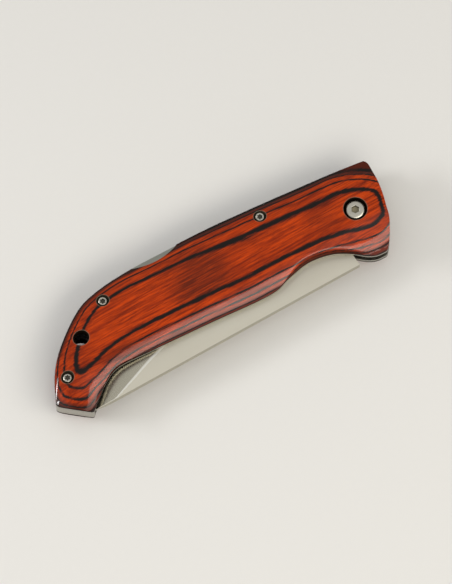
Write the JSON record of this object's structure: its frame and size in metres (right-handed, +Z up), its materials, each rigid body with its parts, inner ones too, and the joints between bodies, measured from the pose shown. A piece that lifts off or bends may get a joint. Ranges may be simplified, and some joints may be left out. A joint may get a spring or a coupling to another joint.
{
  "type": "folding pocket knife",
  "caption": "Back-lock folding pocket knife with crowned laminated wood scales, steel liners, a flat-ground blade and a rocking lock bar.",
  "frame": {"origin": "middle of the closed knife's footprint, on the surface that it lies on", "axes": "+X along the handle towards the blade pivot, +Y towards the handle's back, +Z up through the thickness, out of the show side"},
  "size_m": [0.1302, 0.0372, 0.0152],
  "materials": {
    "laminated_wood": "polished, resin-filled laminated wood, orange-red with near-black layers",
    "liner_steel": "polished stainless steel",
    "blade_steel": "satin stainless steel",
    "lock_steel": "satin steel",
    "screw_steel": "satin stainless steel",
    "washer_bronze": "phosphor bronze, plain"
  },
  "bodies": {
    "handle": {"front_scale": "laminated_wood", "back_scale": "laminated_wood", "front_liner": "liner_steel", "back_liner": "liner_steel", "rear_spacer": "liner_steel", "front_washer": "washer_bronze", "back_washer": "washer_bronze", "pivot_barrel": "screw_steel", "pivot_screw": "screw_steel", "lock_spring": "lock_steel", "lock_sleeve": "screw_steel", "upper_sleeve": "screw_steel", "lower_sleeve": "screw_steel", "lock_screw_front": "screw_steel", "lock_screw_back": "screw_steel", "upper_screw_front": "screw_steel", "upper_screw_back": "screw_steel", "lower_screw_front": "screw_steel", "lower_screw_back": "screw_steel"},
    "blade": {"blade": "blade_steel"},
    "lock_bar": {"lock_bar": "lock_steel"}
  },
  "joints": [
    {"name": "blade_pivot", "type": "hinge", "parent": "handle", "child": "blade", "pos_m": [0.05286, -0.00212, 0.0076], "axis": [0, 0, 1], "range_deg": [0, 180]},
    {"name": "lock_rocker", "type": "hinge", "parent": "handle", "child": "lock_bar", "pos_m": [0.02466, 0.01178, 0.0076], "axis": [0, 0, -1], "range_deg": [-2.5, 2], "stiffness_Nm_per_rad": 1.5, "deforming": ["lock_spring"]}
  ]
}
